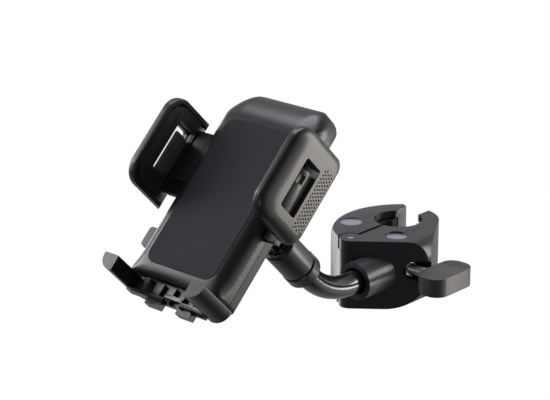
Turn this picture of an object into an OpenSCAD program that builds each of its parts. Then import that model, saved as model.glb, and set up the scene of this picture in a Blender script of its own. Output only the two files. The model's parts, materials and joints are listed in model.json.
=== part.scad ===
/* [Bar clamp] */
// Diameter of the bar that the clamp holds
bar_d = 25.4; // [22:0.1:28]
// Thickness of the rubber linings in the jaws
liner_t = 3.4; // [2.4:0.1:4]
// Height of the rubber linings
liner_h = 32; // [20:1:34]
// Lip of each jaw inside the lining's back face
lip_t = 1.6; // [0.8:0.1:2]
// Height of the jaws
jaw_h = 42.5; // [40:0.5:50]
// Wall of the jaws behind the linings
jaw_wall = 8.4; // [7:0.1:10]
// Width of the open mouth between the jaw tips
mouth_w = 14.5; // [10:0.1:16]
// Offset of the mouth's middle towards the rear jaw
mouth_shift = 2.95; // [0:0.05:3.5]
// Distance from the bar's axis to the hinge pin
hinge_back = 43.8; // [42:0.1:46]
// Diameter of the hinge pin
hinge_pin_d = 3.9; // [3:0.1:4.5]
// Diameter of the hinge knuckles
knuckle_d = 13.4; // [12:0.1:14]
// Height of each outer knuckle
outer_knuckle_h = 7.5; // [6:0.1:9]
// Angle of the front jaw's flat flank from the jaw's width
flank_deg = 41.5; // [40:0.5:43]
// Length of the front jaw's flank
flank_l = 46.5; // [44:0.5:48]
// Radius of the rear jaw's curved back
rear_arc_r = 44; // [43.2:0.1:48]
// Gap between the two jaws beside the screw
slit_w = 2.6; // [2:0.1:3.2]

/* [Clamp screw and knob] */
// Distance of each steel barrel from the middle plane
barrel_x = 17.6; // [17:0.1:18.5]
// Distance of the barrels from the bar's axis
barrel_back = 22.9; // [22.4:0.1:24]
// Diameter of the steel barrels
barrel_d = 13.3; // [12:0.1:13.6]
// Height of the screw above the jaws' middle
screw_rise = 3.2; // [0:0.1:4]
// Diameter of the screw
screw_d = 6; // [5:0.1:6.4]
// Width of the round recess round the screw
screw_recess_d = 12.8; // [12.4:0.1:13.2]
// Length of the knob along its grip
knob_l = 35; // [30:0.5:38]
// Size of the knob along the screw
knob_w = 19; // [16:0.2:22]
// Thickness of the knob
knob_t = 11.2; // [9.5:0.1:12]
// Free distance between the front jaw's corner and the knob
knob_gap = 5.2; // [3:0.1:6.5]
// Grip grooves at each end of the knob
knob_grooves = 3; // [1:1:4]

/* [Arm tube] */
// Distance of the tube's plane from the clamp's middle
arm_x = 13.8; // [13:0.1:14.4]
// Height of the tube's start above the jaws' middle
arm_rise = 0.5; // [-1:0.1:2]
// Distance from the bar's axis to the boss's mouth
boss_reach = 56; // [54:0.5:60]
// Diameter of the boss
boss_d = 23; // [21:0.5:24]
// Diameter of the tube
tube_d = 13.8; // [12:0.1:14]
// Depth of the tube in the boss
tube_in = 9.5; // [7:0.5:9.5]
// Straight stretch before the bend
tube_lead = 5.2; // [3:0.1:12]
// Radius of the bend at the tube's middle
bend_r = 50; // [40:1:60]
// Angle of the bend, which sets how far the cradle leans back
lean = 46; // [35:1:55]
// Straight stretch from the bend to the ball's middle
tube_tip = 30.7; // [30:0.1:38]

/* [Ball joint] */
// Diameter of the ball
ball_d = 14; // [13:0.1:14.2]
// Gap between the ball and its socket
ball_gap = 0.15; // [0.1:0.01:0.25]
// Outer diameter of the collar nut
collar_d = 20.4; // [20:0.1:22]
// Outer diameter of the socket's sleeve
sleeve_d = 17; // [16.8:0.1:17.2]
// Reach of the socket behind the ball's middle
socket_reach = 25.5; // [24.5:0.1:27]
// Diameter of the socket's end ring
end_ring_d = 21.2; // [20.4:0.1:22]
// Length of the socket's end ring
end_ring_l = 7.3; // [5:0.1:8]
// Width of the groove between ring and nut
ring_groove = 0.8; // [0.5:0.1:1.2]
// Reach of the collar nut past the ball's middle
collar_reach = 6; // [5:0.1:6.4]
// Diameter of the ball's neck
neck_d = 8; // [7:0.1:8.2]
// Distance from the ball's middle to the front mat's face
ball_back = 65.5; // [62:0.5:70]
// Height of the ball's axis above the mat's middle
ball_up = 5.5; // [0:0.5:8]
// Diameter of the stem's flange
flange_d = 29; // [27:0.5:31]

/* [Cradle body] */
// Width of the cradle body
body_w = 66.6; // [64:0.2:70]
// Reach of the body above the mat's middle
body_up = 69.5; // [68:0.5:74]
// Reach of the body below the mat's middle
body_down = 53.4; // [52:0.2:56]
// Depth of the body behind the mat's face
body_t = 20.4; // [20.2:0.2:23]
// Depth of the seam between the two shells
seam_t = 12.8; // [12.6:0.1:13.4]
// Radius of the body's long front edges
side_r = 9; // [6:0.5:10]
// Radius of the shoulder that rolls back at the top
shoulder_r = 18; // [14:0.5:18]
// Radius of the body's upper corners
corner_r = 16; // [10:0.5:18]
// Radius of the body's lower corners and back edges
edge_r = 3; // [2:0.5:4]
// Wall of the shells
wall = 2; // [1.6:0.1:2.4]
// Width of the front mat
mat_w = 49.6; // [44:0.2:50]
// Height of the front mat
mat_h = 92.5; // [86:0.5:94]
// Radius of the mat's corners
mat_r = 6.5; // [3:0.5:10]
// Thickness of the mat
mat_t = 1.2; // [0.8:0.1:1.4]
// Height of the mat above the shell
mat_proud = 0.3; // [0.1:0.1:0.6]

/* [Side arms] */
// Distance between the two arms' inner faces
arm_gap = 84.8; // [82:0.2:92]
// Height of the middle of the arms above the mat's middle
arm_mid = 16; // [14:0.5:20]
// Offset up of the right arm and down of the left one
arm_stagger = 1.5; // [0:0.1:2]
// Height of each arm
arm_h = 55.2; // [52:0.2:58]
// Reach of each arm in front of the mat's face
arm_front = 25.6; // [20:0.2:28]
// Reach of each arm's outside behind the mat's face
arm_rear = 17; // [15:0.2:18]
// Reach of each arm's rim behind the mat's face
rim_rear = 8.1; // [7:0.2:9]
// Bulge of each arm from its rim to its flat
arm_bulge = 8; // [7:0.2:10]
// Height of the rim's straight edge
rim_h = 3.2; // [2:0.1:3.6]
// Wall of each arm at its rim
arm_wall = 3; // [2.4:0.1:3.6]
// Radius of each arm's front corners
arm_r = 11; // [8:0.5:13]
// Height of the window in each arm
window_h = 29.5; // [24:0.5:32]
// Front edge of the windows in front of the mat's face
window_front = 12.3; // [11:0.1:13.4]
// Depth of the window in each arm
window_w = 14.5; // [13:0.1:14.8]
// Thickness of the slider plates
slider_t = 4; // [3.4:0.1:4.1]
// Height of the slider plates
slider_h = 41; // [36:0.5:44]
// Inward travel of each arm
arm_in = 8; // [4:0.5:8.5]
// Outward travel of each arm
arm_out = 6; // [2:0.5:8]

/* [Rack drive] */
// Teeth of the pinion
pinion_teeth = 12; // [12:2:14]
// Size of the teeth as pitch diameter over number of teeth
gear_m = 1; // [0.9:0.05:1.05]
// Play between meshing teeth
backlash = 0.24; // [0.2:0.02:0.3]
// Diameter of the pinion's axle
axle_d = 4; // [3:0.1:4.5]

/* [Button and foot] */
// Height of the button's tab
tab_h = 12; // [10:0.5:14]
// Reach of the tab outside the body
tab_out = 5.5; // [3:0.1:7]
// Distance of the tab below the mat's middle
tab_down = 31.5; // [31:0.1:33]
// Width of each foot prong
prong_w = 10; // [8:0.5:11]
// Distance from the middle to each prong's inner face
prong_x = 27; // [24:0.5:28]
// Height of the foot's prongs
prong_h = 9; // [8:0.2:10]
// Reach of the prongs in front of the mat's face
prong_front = 15.4; // [12:0.2:20]
// Outward travel of the foot
foot_out = 12; // [6:0.5:14]

/* [Hidden] */
$fn = 64;

// Gap of sliding and turning pieces
run = 0.3;
// Close gap of seated pieces
seat = 0.05;
// Gap of pins in their holes
pin_fit = 0.05;
// Overrun of cutters past the faces that they cut
over = 1;
// Facets of the round ends inside a blended form
soft_fn = 32;

// Clamp values
bore_r = bar_d / 2;
pocket_r = bore_r + liner_t;
lip_r = pocket_r - lip_t;
ring_r = pocket_r + jaw_wall;
half_h = jaw_h / 2;
hinge_y = -hinge_back;
knuckle_r = knuckle_d / 2;
mid_knuckle_z = half_h - outer_knuckle_h;
barrel_y = -barrel_back;
barrel_r = barrel_d / 2;
screw_r = screw_d / 2;
flank_start = [knuckle_r * sin(flank_deg), hinge_y - knuckle_r * cos(flank_deg)];
flank_corner_r = 1.5;
// Opening angle of the rear jaw, which the slots beside the screw allow for
jaw_open = 20;
screw_swing = sin(jaw_open / 2);
rear_centre = [12.8, -9.3];
// Width and height of the rounding on the rear jaw's curved edges
rear_round_a = 2.1;
rear_round_b = 5.5;
// Corners of the rear jaw's plan: beyond the curved back, and at its slanted tip
rear_far_x = -40;
rear_low_y = -25.4;
tip_back = [-14.3, 22.9];
tip_mouth_y = 20.4;
flank_end = flank_start + flank_l * [cos(flank_deg), sin(flank_deg)];
// Widths of the rounding at the front jaw's free corner, above and below
corner_top_a = 9;
corner_low_a = 19.5;
knob_x = flank_end[0] + knob_gap;
recess_floor_x = barrel_x + barrel_r - 2;
washer_t = 1.4;
washer_r = 5.4;
flat_x = barrel_r - 0.8;
nut_af = 9.4;
nut_h = 4.4;
screw_end_x = -(barrel_x + barrel_r + 0.6);

// Arm values
bend_shift = bend_r * tan(lean / 2);
start_y = -(boss_reach + tube_lead);
ball_s = bend_shift + tube_tip;
ball_pos = [arm_x, start_y - bend_shift - ball_s * cos(lean), arm_rise + ball_s * sin(lean)];
tube_r = tube_d / 2;
ball_r = ball_d / 2;
sleeve_r = sleeve_d / 2;
collar_r = collar_d / 2;
end_ring_r = end_ring_d / 2;
socket_r = ball_r + ball_gap;
tube_stop = 12;
ring_edge = 0.6;
// Length by which the tube's straights reach into its bend
lap = 0.5;
// Front end of the socket's sleeve and the collar nut's shoulder before it
sleeve_top = 3;
collar_lip = sleeve_top + 0.2;

// Cradle values
shell_z = -mat_proud;
half_w = body_w / 2;
back_z = -body_t;
seam_z = -seam_t;
seat_rise = 7.6;
seat_z = back_z - seat_rise;
seat_r = flange_d / 2 + 4;
flange_t = 3;
seat_t = 2.4;
spigot_r = 3.2;
stem_screw_r = 1.6;
stem_pocket_r = 5.9;
inner_z = -mat_t - wall;
arm_x0 = arm_gap / 2;
pitch_r = gear_m * pinion_teeth / 2;
slide_z1 = -3.6;
slide_z2 = slide_z1 - slider_t - 0.8;
tongue_h = 6;
plate_x = 20;
tongue_over = 10;
ratchet_h = 0.8;
ratchet_pitch = 1.5;
rack_tip = 0.7 * gear_m;
rack_root = 1.15 * gear_m;
gear_tip = 0.8 * gear_m;
gear_root = 1.0 * gear_m;
hole_rows = 16;
hole_pitch = 2.3;
hole_step = 1.8;
hole_front = -5.2;
hole_depth = 0.7;
hole_r = 0.6;
// Step of the window's edge that the insert seats in, and the insert's upper end
window_lip = 0.6;
insert_high = 26.2;
lever_x = 19;
lever_y = -20;
// Lower end of the slider plates: the right one lies lower
left_plate_low = -4.3;
right_plate_low = -12;
// Level below which the left slider is a step thinner
step_y = 3.8;
step_t = 1.4;
button_t = 4;
lever_z = -10;
lever_post_r = 1.6;
spring_wire = 0.6;
// Room below the tab, which sinks a little as it turns inwards
tab_drop = 2.8;
pawl_gap = 0.3;
slot_gap = 0.35;
foot_z = -9;
foot_t = 3;
foot_in = 30;
foot_tongue_w = 30;
foot_gap = 0.5;
foot_top = -body_down - foot_gap;
foot_bottom = foot_top - prong_h;
prong_back = -13;
post_x = 27;
post_low = -46;
post_high = 54;
screw_head_r = 2.9;
screw_hole_r = 1.2;

// Points of an ellipse's quarter, from the X end to the Y end
function quarter(c, a, b, n = 12) =
    [for (i = [0 : n]) [c[0] + a * cos(90 * i / n), c[1] + b * sin(90 * i / n)]];

// Rounded rectangle from its corners and a radius for each, anticlockwise from the lower left
function round_rect(x0, y0, x1, y1, r, n = 8) = concat(
    [for (i = [0 : n]) [x0 + r[0] - r[0] * cos(90 * i / n), y0 + r[0] - r[0] * sin(90 * i / n)]],
    [for (i = [0 : n]) [x1 - r[1] + r[1] * sin(90 * i / n), y0 + r[1] - r[1] * cos(90 * i / n)]],
    [for (i = [0 : n]) [x1 - r[2] + r[2] * cos(90 * i / n), y1 - r[2] + r[2] * sin(90 * i / n)]],
    [for (i = [0 : n]) [x0 + r[3] - r[3] * sin(90 * i / n), y1 - r[3] + r[3] * cos(90 * i / n)]]);

// Places

// Frame with its origin at the ball's middle, X across the cradle, Y up it and Z out of its face
module at_ball() {
    translate(ball_pos) rotate([90 - lean, 0, 0]) children();
}

// The same directions with the origin at the middle of the mat's face
module at_cradle() {
    at_ball() translate([0, -ball_up, ball_back]) children();
}

// A piece of one side of the cradle: side 1 is the right one, side -1 the left one
module side_place(side) {
    if (side > 0) children();
    else mirror([1, 0, 0]) children();
}

// Extrusion of an outline in the Y and Z directions along X, from x0 to x1
module along_x(x0, x1) {
    translate([x0, 0, 0]) rotate([90, 0, 90]) linear_extrude(x1 - x0) children();
}

// Extrusion of an outline in the X and Z directions along Y, from y0 to y1
module along_y(y0, y1) {
    translate([0, y1, 0]) rotate([90, 0, 0]) linear_extrude(y1 - y0) children();
}

// Body of the cradle

// Outer form of both shells, drawn in by an inset to make the room inside
module body_form(inset) {
    top = body_up - inset;
    low = -body_down + inset;
    front = inset > 0 ? inner_z : shell_z;
    back = back_z + inset;
    sr = side_r - inset;
    br = max(edge_r - inset, 0.5);
    cr = corner_r - inset;
    shoulder = min(shoulder_r - inset, front - back - 0.6);
    bevel = min(br, front - back - shoulder - 0.1);
    intersection() {
        translate([0, 0, back]) linear_extrude(front - back)
            polygon(round_rect(-half_w + inset, low, half_w - inset, top, [br, br, cr, cr], 6));
        along_y(low - over, top + over)
            polygon(round_rect(-half_w + inset, back, half_w - inset, front, [br, br, sr, sr], 6));
        along_x(-half_w - over, half_w + over)
            polygon(concat([[low, front], [low, back], [top - bevel, back], [top, back + bevel]],
                quarter([top - shoulder, front - shoulder], shoulder, shoulder, 10)));
    }
}

// Slot in a side wall that a slider runs through
module slider_slot(side) {
    z = side < 0 ? slide_z1 : slide_z2;
    low = side < 0 ? left_plate_low : right_plate_low;
    high = arm_mid + side * arm_stagger + slider_h / 2;
    bottom = side < 0 ? z - slider_t - slot_gap : seam_z - over;
    side_place(side) translate([half_w - wall - side_r, low - ratchet_h - slot_gap, bottom])
        cube([wall + side_r + over, high - low + ratchet_h + 2 * slot_gap, z + slot_gap - bottom]);
}

// Opening in the left wall for the button's tab
module tab_slot() {
    translate([-half_w - over, -tab_down - tab_h / 2 - tab_drop, lever_z - slot_gap])
        cube([wall + 3 * over, tab_h + tab_drop + slot_gap, button_t + 2 * slot_gap]);
}

// Front housing with its mat recess, slots, screw posts and pivot posts
module front_shell() {
    color([0.36, 0.36, 0.38]) at_cradle() difference() {
        union() {
            intersection() {
                difference() {
                    body_form(0);
                    body_form(wall);
                }
                translate([-half_w - over, -body_down - over, seam_z])
                    cube([body_w + 2 * over, body_up + body_down + 2 * over, seam_t]);
            }
            for (x = [-post_x, post_x], y = [post_low, post_high])
                translate([x, y, seam_z]) cylinder(h = inner_z - seam_z + 0.5, r = 3.2);
            translate([-lever_x, lever_y, lever_z]) cylinder(h = inner_z - lever_z + 0.5, r = lever_post_r);
        }
        translate([0, 0, -mat_t]) linear_extrude(mat_t + over)
            polygon(round_rect(-mat_w / 2 - seat, -mat_h / 2 - seat, mat_w / 2 + seat, mat_h / 2 + seat,
                [mat_r, mat_r, mat_r, mat_r]));
        for (x = [-post_x, post_x], y = [post_low, post_high])
            translate([x, y, seam_z - over]) cylinder(h = 8 + over, r = screw_hole_r);
        for (side = [-1, 1]) slider_slot(side);
        tab_slot();
        translate([-foot_tongue_w / 2 - slot_gap, -body_down - over, foot_z - slot_gap])
            cube([foot_tongue_w + 2 * slot_gap, wall + 2 * over, foot_t + 2 * slot_gap]);
        translate([0, arm_mid, inner_z - over]) cylinder(h = over + 0.8, r = axle_d / 2 + pin_fit);
    }
}

// Back cover with the raised seat for the ball stem
module rear_shell() {
    stem_y = ball_up;
    color([0.30, 0.30, 0.32]) at_cradle() difference() {
        union() {
            intersection() {
                difference() {
                    body_form(0);
                    body_form(wall);
                }
                translate([-half_w - over, -body_down - over, back_z - over])
                    cube([body_w + 2 * over, body_up + body_down + 2 * over, body_t - seam_t + over - seat]);
            }
            translate([0, stem_y, seat_z]) cylinder(h = back_z - seat_z + 0.5, r1 = seat_r, r2 = seat_r + 4);
            for (x = [-post_x, post_x], y = [post_low, post_high])
                translate([x, y, back_z + wall / 2]) cylinder(h = seam_z - back_z - wall / 2 - seat, r = 3.2);
            translate([-lever_x, lever_y, back_z + wall / 2])
                cylinder(h = lever_z - back_z - wall / 2 - seat, r = 3);
            translate([0, arm_mid, back_z + wall / 2]) cylinder(h = wall, r = axle_d / 2 + 2.4);
        }
        for (x = [-post_x, post_x], y = [post_low, post_high]) {
            translate([x, y, back_z - over]) cylinder(h = body_t, r = screw_hole_r + 0.4);
            translate([x, y, back_z - over]) cylinder(h = over + 1.9, r = screw_head_r + 0.2);
        }
        // hollow of the seat, which leaves its floor, a middle boss and the axle's boss
        difference() {
            translate([0, stem_y, seat_z + seat_t]) cylinder(h = body_t, r = seat_r - 2.5);
            translate([0, stem_y, seat_z]) cylinder(h = body_t, r = stem_pocket_r + 2);
            translate([0, arm_mid, seat_z]) cylinder(h = body_t, r = axle_d / 2 + 2.4);
        }
        translate([0, stem_y, seat_z + seat_t]) cylinder(h = back_z + wall - seat_z, r = stem_pocket_r);
        translate([0, stem_y, seat_z - over]) cylinder(h = seat_t + 2 * over, r = spigot_r + pin_fit);
        translate([0, arm_mid, back_z + wall]) cylinder(h = body_t, r = axle_d / 2 + pin_fit);
    }
}

// Thin mat on the front face
module front_mat() {
    color([0.16, 0.17, 0.20]) at_cradle() translate([0, 0, -mat_t]) linear_extrude(mat_t)
        polygon(round_rect(-mat_w / 2, -mat_h / 2, mat_w / 2, mat_h / 2, [mat_r, mat_r, mat_r, mat_r]));
}

// Screws of the back cover
module shell_screws() {
    color([0.7, 0.7, 0.74]) at_cradle()
        for (x = [-post_x, post_x], y = [post_low, post_high]) translate([x, y, 0]) difference() {
            union() {
                translate([0, 0, back_z + 0.2]) cylinder(h = 1.7 - seat, r = screw_head_r);
                translate([0, 0, back_z + 1]) cylinder(h = 13, r = screw_hole_r - seat);
            }
            for (a = [0, 90]) rotate([0, 0, a])
                translate([-1.7, -0.4, back_z]) cube([3.4, 0.8, 1.1]);
        }
}

// Sliders, arms and their drive

// Teeth of a rack along X that point down from y = 0, with a gap at x = 0
module rack_teeth(x0, x1) {
    p = PI * gear_m;
    t = p / 2 - backlash / 2;
    slope = tan(20);
    n = ceil(max(abs(x0), abs(x1)) / p) + 1;
    for (i = [-n : n]) {
        c = (i + 0.5) * p;
        if (c - t > x0 && c + t < x1)
            polygon([[c - t / 2 - rack_root * slope, rack_root], [c - t / 2 + rack_tip * slope, -rack_tip],
                [c + t / 2 - rack_tip * slope, -rack_tip], [c + t / 2 + rack_root * slope, rack_root]]);
    }
}

// Saw teeth on the lower edge of the left slider, which the button's pawl holds
module ratchet_teeth(x0, x1) {
    for (x = [x0 : ratchet_pitch : x1 - ratchet_pitch])
        polygon([[x, 0.01], [x + ratchet_pitch, 0.01], [x + ratchet_pitch, -ratchet_h]]);
}

// Rear edge of a slider's foot in its arm
function foot_rear(side) = side < 0 ? slide_z2 - 1.4 : slide_z2 - slider_t;

// Plate of one slider with its rack tongue and the foot that carries the arm
module slider(side) {
    z = side < 0 ? slide_z1 : slide_z2;
    y = arm_mid + side * arm_stagger;
    low = side < 0 ? left_plate_low : right_plate_low;
    high = y + slider_h / 2;
    foot_x = arm_x0 + 2;
    foot_low = y - slider_h / 2 + 2;
    at_cradle() side_place(side) {
        difference() {
            translate([0, 0, z - slider_t]) linear_extrude(slider_t) {
                translate([plate_x, low]) square([arm_x0 - seat - plate_x, high - low]);
                translate([arm_x0 - over, foot_low]) square([over + 2.5, slider_h - 4]);
                if (side < 0) translate([0, low]) ratchet_teeth(plate_x + 1, foot_x - 3);
                // the left rack lies above the pinion and the right one below it
                translate([0, arm_mid]) mirror([0, side > 0 ? 1 : 0]) {
                    translate([-tongue_over, pitch_r + rack_root - 0.01])
                        square([plate_x + tongue_over + 0.5, tongue_h - rack_root]);
                    translate([0, pitch_r]) rack_teeth(-tongue_over, plate_x);
                }
            }
            if (side < 0) translate([plate_x - over, low - over, z - step_t])
                cube([arm_x0 + over - plate_x, step_y - low + over, step_t + over]);
        }
        difference() {
            along_x(foot_x, foot_x + 2) polygon(round_rect(foot_low, foot_rear(side),
                high - 2, 15, [0.5, 0.5, 3, 3]));
            along_x(foot_x - over, foot_x + 2 + over) window_outline(window_lip);
        }
    }
}

module left_slider() {
    color([0.28, 0.28, 0.30]) slider(-1);
}

module right_slider() {
    color([0.28, 0.28, 0.30]) slider(1);
}

// Window of an arm in the Y and Z directions
module window_outline(grow) {
    polygon(round_rect(arm_mid - window_h / 2 - grow, window_front - window_w - grow,
        arm_mid + window_h / 2 + grow, window_front + grow, [1.5, 1.5, 1.5, 1.5], 4));
}

// Outline of an arm, drawn in by an inset
module arm_outline(y, d) {
    polygon(round_rect(y - arm_h / 2 + d, -arm_rear + d, y + arm_h / 2 - d, arm_front - d,
        [5, 5, arm_r, arm_r], 8));
}

// Cupped grip at one side, with its back cut on the slant
module arm_shell(side) {
    y = arm_mid + side * arm_stagger;
    cup_x = arm_x0 + 4 + seat;
    at_cradle() side_place(side) difference() {
        hull() {
            along_x(arm_x0, arm_x0 + rim_h) arm_outline(y, 0);
            along_x(arm_x0 + 5, arm_x0 + 5.2) polygon(round_rect(y - arm_h / 2 + 2, -arm_rear + 1,
                y + arm_h / 2 - 1.8, arm_front - 3.2, [5, 5, arm_r - 1, arm_r - 1], 8));
            along_x(arm_x0 + arm_bulge - 0.4, arm_x0 + arm_bulge) polygon(round_rect(y - arm_h / 2 + 7,
                -arm_rear + 3, y + arm_h / 2 - 5, arm_front - 10, [5, 5, 8, 8], 8));
        }
        along_x(arm_x0 - over, arm_x0 + 2) arm_outline(y, arm_wall);
        along_x(arm_x0 - over, cup_x) polygon(round_rect(y - slider_h / 2 + 2 - seat,
            foot_rear(side) - seat, y + slider_h / 2 - 2 + seat, 15 + seat, [0.5, 0.5, 3, 3]));
        along_x(cup_x - 0.5, arm_x0 + 4.8 + seat) window_outline(window_lip);
        along_x(arm_x0 - over, arm_x0 + arm_bulge + over) window_outline(0);
        along_y(y - arm_h, y + arm_h) polygon([[arm_x0 - over, -rim_rear + over],
            [arm_x0 + arm_bulge + over, -rim_rear - arm_bulge - over],
            [arm_x0 + arm_bulge + over, -2 * arm_rear], [arm_x0 - over, -2 * arm_rear]]);
        arm_holes();
    }
}

// Staggered rows of small blind holes behind the window
module arm_holes() {
    for (i = [0 : hole_rows - 1], j = [0 : 4])
        translate([arm_x0 + arm_bulge - hole_depth, arm_mid + hole_pitch * (i - (hole_rows - 0.5) / 2 + (j % 2) / 2),
            hole_front - hole_step * j])
            rotate([0, 90, 0]) cylinder(h = over + hole_depth, r = hole_r, $fn = 8);
}

module left_arm() {
    color([0.42, 0.42, 0.44]) arm_shell(-1);
}

module right_arm() {
    color([0.42, 0.42, 0.44]) arm_shell(1);
}

// Rubber lining inside an arm, with a raised band round the window
module arm_pad(side) {
    y = arm_mid + side * arm_stagger;
    z_low = slide_z1 + 0.2;
    at_cradle() side_place(side) difference() {
        intersection() {
            union() {
                along_x(arm_x0 + 0.4, arm_x0 + 2 - seat) arm_outline(y, arm_wall + 0.1);
                along_x(arm_x0 - 0.3, arm_x0 + 1) window_outline(4);
            }
            translate([arm_x0 - over, y - arm_h, z_low]) cube([arm_bulge, 2 * arm_h, arm_front]);
        }
        along_x(arm_x0 - over, arm_x0 + 3) window_outline(window_lip);
    }
}

module left_arm_pad() {
    color([0.10, 0.10, 0.11]) arm_pad(-1);
}

module right_arm_pad() {
    color([0.10, 0.10, 0.11]) arm_pad(1);
}

// Light plate in an arm's window: base in the window's step, raised front and half-round bar outside
module arm_insert() {
    low = arm_mid - window_h / 2;
    rear = window_front - window_w;
    difference() {
        translate([arm_x0, 0, 0]) {
            along_x(2.6, 4.8) polygon(round_rect(low - window_lip + seat, rear - window_lip + seat,
                insert_high, 5, [1.5, 0.5, 0.5, 0.5], 4));
            translate([1.1, low + seat, 2.4]) cube([1.9, insert_high - low - seat, 6.7]);
            intersection() {
                translate([0.4, low + seat, 3]) rotate([-90, 0, 0]) cylinder(h = insert_high - low - seat, r = 5.6);
                translate([2.8, low, rear]) cube([arm_bulge, window_h, 7.5 - rear]);
            }
        }
        translate([arm_x0 + 4.2, 18, 3.4]) cube([arm_bulge, 5.2, 5.2]);
    }
}

module left_arm_insert() {
    color([0.62, 0.62, 0.64]) at_cradle() side_place(-1) arm_insert();
}

module right_arm_insert() {
    color([0.62, 0.62, 0.64]) at_cradle() side_place(1) arm_insert();
}

// Involute of a circle of radius r, at the roll angle a
function involute(r, a) = [r * (cos(a) + a * PI / 180 * sin(a)), r * (sin(a) - a * PI / 180 * cos(a))];
// Roll angle at which the involute of radius r reaches radius q
function roll_at(r, q) = 180 / PI * sqrt(pow(max(q / r, 1), 2) - 1);
function turned(p, a) = [p[0] * cos(a) - p[1] * sin(a), p[0] * sin(a) + p[1] * cos(a)];

// Pinion between the two racks
module pinion() {
    base_r = pitch_r * cos(20);
    tip_r = pitch_r + gear_tip;
    root_r = pitch_r - gear_root;
    half_tooth = 90 / pinion_teeth - backlash / 2 / pitch_r * 90 / PI;
    at_pitch = involute(base_r, roll_at(base_r, pitch_r));
    shift = atan2(at_pitch[1], at_pitch[0]) + half_tooth;
    steps = 5;
    flank = [for (i = [0 : steps])
        turned(involute(base_r, roll_at(base_r, base_r + (tip_r - base_r) * i / steps)), -shift)];
    color([0.85, 0.85, 0.82]) at_cradle() translate([0, arm_mid, slide_z2 - slider_t - 0.1])
        linear_extrude(slide_z1 - slide_z2 + slider_t + 0.2) difference() {
            union() {
                circle(r = root_r);
                for (k = [0 : pinion_teeth - 1]) rotate(90 + 360 * k / pinion_teeth)
                    polygon(concat([[root_r - 1, flank[0][1]]], flank,
                        [for (i = [steps : -1 : 0]) [flank[i][0], -flank[i][1]]], [[root_r - 1, -flank[0][1]]]));
            }
            circle(r = axle_d / 2 + pin_fit);
        }
}

// Steel pin between the shells that the pinion turns on
module pinion_axle() {
    color([0.75, 0.75, 0.78]) at_cradle() translate([0, arm_mid, back_z + wall + seat])
        cylinder(h = inner_z + 0.8 - back_z - wall - 2 * seat, r = axle_d / 2);
}

// Torsion spring round the axle that pushes the arms open
module arm_spring() {
    wire = 0.9;
    coil_r = axle_d / 2 + 1.6;
    low = back_z + 1.5 * wall + seat;
    color([0.6, 0.6, 0.62]) at_cradle() translate([0, arm_mid, low + wire / 2]) {
        coil(coil_r, wire, 3);
        for (s = [-1, 1]) translate([s * coil_r, 0, s > 0 ? 0 : 1.96 * wire])
            rotate([-90, 0, 0]) cylinder(h = 9, d = wire * 0.9, $fn = 16);
    }
}

// Close turns of a wire round the Z axis, the first one at z = 0
module coil(r, wire, turns) {
    rotate_extrude() for (i = [0 : turns - 1])
        translate([r, i * wire * 0.98]) rotate(22.5) circle(d = wire / cos(22.5), $fn = 8);
}

// Release lever at the left: tab outside, pivot on its post and pawl at the slider's teeth
module release_button() {
    y_tip = left_plate_low - ratchet_h - pawl_gap;
    color([0.45, 0.45, 0.47]) at_cradle() side_place(-1) difference() {
        translate([0, 0, lever_z]) {
            linear_extrude(button_t) {
                translate([half_w - 6, -tab_down - tab_h / 2])
                    polygon(round_rect(0, 0, 6 + tab_out, tab_h, [0.5, 2, 2, 0.5], 4));
                hull() {
                    translate([half_w - 5, -tab_down + 2]) circle(r = 1.5, $fn = soft_fn);
                    translate([lever_x, lever_y]) circle(r = 2 * lever_post_r, $fn = soft_fn);
                }
                hull() {
                    translate([lever_x, lever_y]) circle(r = 2 * lever_post_r, $fn = soft_fn);
                    translate([lever_x + 5, y_tip - 3]) circle(r = lever_post_r, $fn = soft_fn);
                }
            }
            linear_extrude(slide_z1 - step_t - lever_z)
                polygon([[lever_x + 3.8, y_tip - 3.4], [lever_x + 6.2, y_tip - 3.4], [lever_x + 5.8, y_tip]]);
        }
        translate([lever_x, lever_y, lever_z - over])
            cylinder(h = button_t + 2 * over, r = lever_post_r + pin_fit);
    }
}

// Coil round the pivot post that presses the lever back
module button_spring() {
    r = lever_post_r + spring_wire / 2 + 0.2;
    color([0.6, 0.6, 0.62]) at_cradle()
        translate([-lever_x, lever_y, lever_z + button_t + spring_wire]) {
            coil(r, spring_wire, 3);
            translate([-r, 0, 0]) rotate([90, 0, 0]) cylinder(h = 8 * spring_wire, d = spring_wire * 0.9, $fn = 16);
        }
}

// Sliding foot: two prongs, a ribbed wall between them and a tongue in the body
module foot_tray() {
    outer = prong_x + prong_w;
    color([0.33, 0.33, 0.35]) at_cradle() {
        for (side = [-1, 1]) side_place(side)
            translate([0, 0, prong_back]) linear_extrude(prong_front - prong_back)
                polygon(round_rect(prong_x, foot_bottom, outer, foot_top, [0.6, 8, 1, 0.4], 10));
        translate([-prong_x - over, foot_bottom - 1.4, foot_z]) cube([2 * (prong_x + over), prong_h + 1.4, foot_t]);
        translate([-foot_tongue_w / 2, foot_top - over, foot_z]) cube([foot_tongue_w, foot_in + over, foot_t]);
        for (x = [-6, 3, 11, 19])
            translate([x - 0.5, foot_bottom - 1.4, foot_z + foot_t - over]) cube([1, prong_h + 0.6, 2 + over]);
        translate([-18, foot_bottom - 1.4, foot_z + foot_t - 1]) rotate([-90, 0, 0])
            cylinder(h = prong_h + 1, r = 4);
        translate([-prong_x - over, foot_bottom - 1.4, foot_z]) cube([prong_x + over - 1, 2.2, foot_t + 3]);
        translate([-1.01, foot_bottom + 1.2, foot_z]) cube([12.5, 2.2, foot_t + 3]);
        translate([11.4, foot_bottom - 0.6, foot_z]) cube([prong_x + over - 11.4, 2.2, foot_t + 3]);
        translate([-14, foot_bottom - 4.4, prong_back + 2]) cube([10, 4, 5]);
        translate([9, foot_bottom - 4.4, prong_back + 2]) cube([10, 4.6, 5]);
    }
}

// Ball joint

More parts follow.
